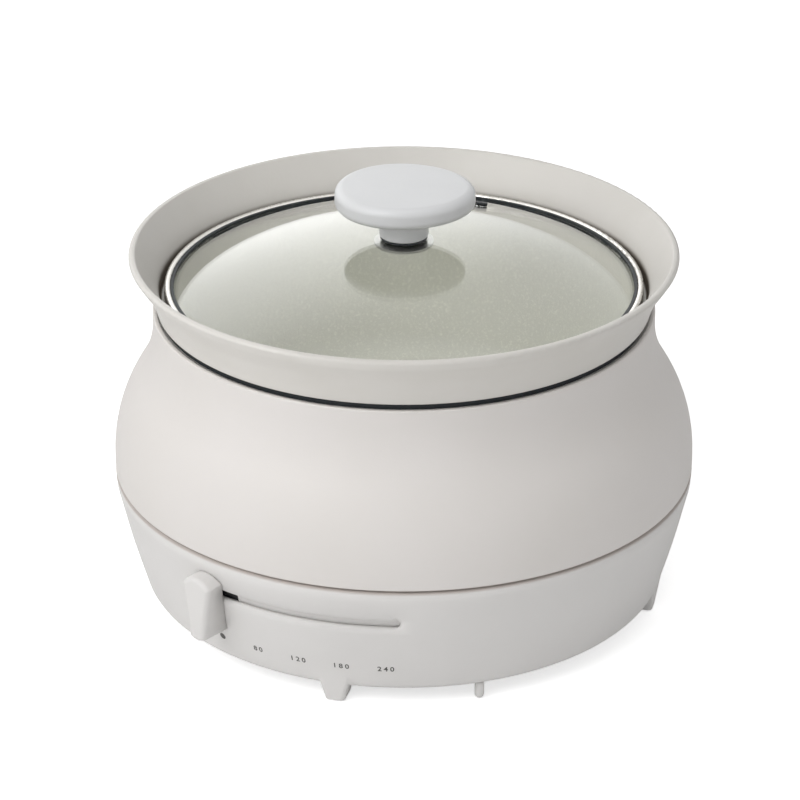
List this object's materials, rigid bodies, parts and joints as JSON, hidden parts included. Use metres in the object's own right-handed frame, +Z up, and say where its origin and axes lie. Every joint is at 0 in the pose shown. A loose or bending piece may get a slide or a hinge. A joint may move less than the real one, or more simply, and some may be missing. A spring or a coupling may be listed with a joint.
{
  "type": "electric hot pot",
  "caption": "Round electric hot pot: flared pot with a domed glass lid and pebble knob, bellied housing on short legs, and a front slider that turns the thermostat through a toothed sector.",
  "frame": {"origin": "centre of the circle of feet, on the table", "axes": "+Z up; -Y is the front, where the slider is; +X is to the right of a person facing the front"},
  "size_m": [0.28, 0.2842, 0.2085],
  "materials": {
    "housing_plastic": "fine matte, warm white",
    "pot_coating": "matte ceramic coat, warm white",
    "knob_plastic": "satin, cool white",
    "glass": "clear, polished",
    "polished_steel": "polished",
    "dark_silicone": "matte",
    "steel_sheet": "rolled sheet",
    "shield_sheet": "pressed sheet",
    "element_tube": "heat-darkened tube",
    "black_plastic": "fine matte black",
    "guide_plastic": "natural slippery plastic",
    "spring_steel": "bright zinc",
    "cap_metal": "plain",
    "ceramic_block": "unglazed",
    "contact_brass": "bare",
    "pad_rubber": "matte grey"
  },
  "bodies": {
    "base": {"base_tub": "housing_plastic", "bottom_cover": "housing_plastic", "carrier_guide": "guide_plastic", "cover_screws": "spring_steel", "element_clip_1": "steel_sheet", "element_clip_2": "steel_sheet", "element_clip_3": "steel_sheet", "foot_pad_1": "pad_rubber", "foot_pad_2": "pad_rubber", "foot_pad_3": "pad_rubber", "foot_pad_4": "pad_rubber", "heat_shield": "shield_sheet", "heating_element": "element_tube", "inlet_contact_1": "contact_brass", "inlet_contact_2": "contact_brass", "inlet_keeper_1": "steel_sheet", "inlet_keeper_2": "steel_sheet", "power_inlet": "black_plastic", "seat_ring": "dark_silicone", "sensor_housing": "steel_sheet", "sensor_spring": "spring_steel", "terminal_block": "ceramic_block", "thermal_fuse": "ceramic_block", "thermostat_body": "black_plastic", "thermostat_bracket": "steel_sheet", "upper_casing": "housing_plastic"},
    "slider": {"slider_knob": "housing_plastic", "slide_carrier": "black_plastic", "slot_shutter": "housing_plastic", "slider_screw": "spring_steel"},
    "spindle": {"thermostat_spindle": "spring_steel", "drive_pinion": "guide_plastic"},
    "sensor": {"sensor_cap": "cap_metal"},
    "pot": {"inner_pot": "pot_coating"},
    "lid": {"lid_glass": "glass", "lid_band": "polished_steel", "lid_seal": "dark_silicone", "lid_knob": "knob_plastic", "knob_washer": "dark_silicone", "knob_screw": "polished_steel", "knob_backing": "polished_steel", "vent_grommet": "dark_silicone"}
  },
  "joints": [
    {"name": "slider_turn", "type": "hinge", "parent": "base", "child": "slider", "pos_m": [0, 0, 0.0487], "axis": [0, 0, 1], "range_deg": [0, 37]},
    {"name": "spindle_turn", "type": "hinge", "parent": "base", "child": "spindle", "pos_m": [0, -0.096, 0.04], "axis": [0, 0, 1], "range_deg": [0, 260]},
    {"name": "sensor_press", "type": "slide", "parent": "base", "child": "sensor", "axis": [0, 0, 1], "range_m": [-0.003, 0], "stiffness_N_per_m": 200, "springref_m": 0.002, "deforming": ["sensor_spring"]},
    {"name": "pot_lift", "type": "slide", "parent": "base", "child": "pot", "axis": [0, 0, 1], "range_m": [0, 0.2]},
    {"name": "lid_lift", "type": "slide", "parent": "pot", "child": "lid", "axis": [0, 0, 1], "range_m": [0, 0.12]}
  ],
  "couplings": [
    {"joint": "spindle_turn", "follows": "slider_turn", "ratio": 7}
  ]
}
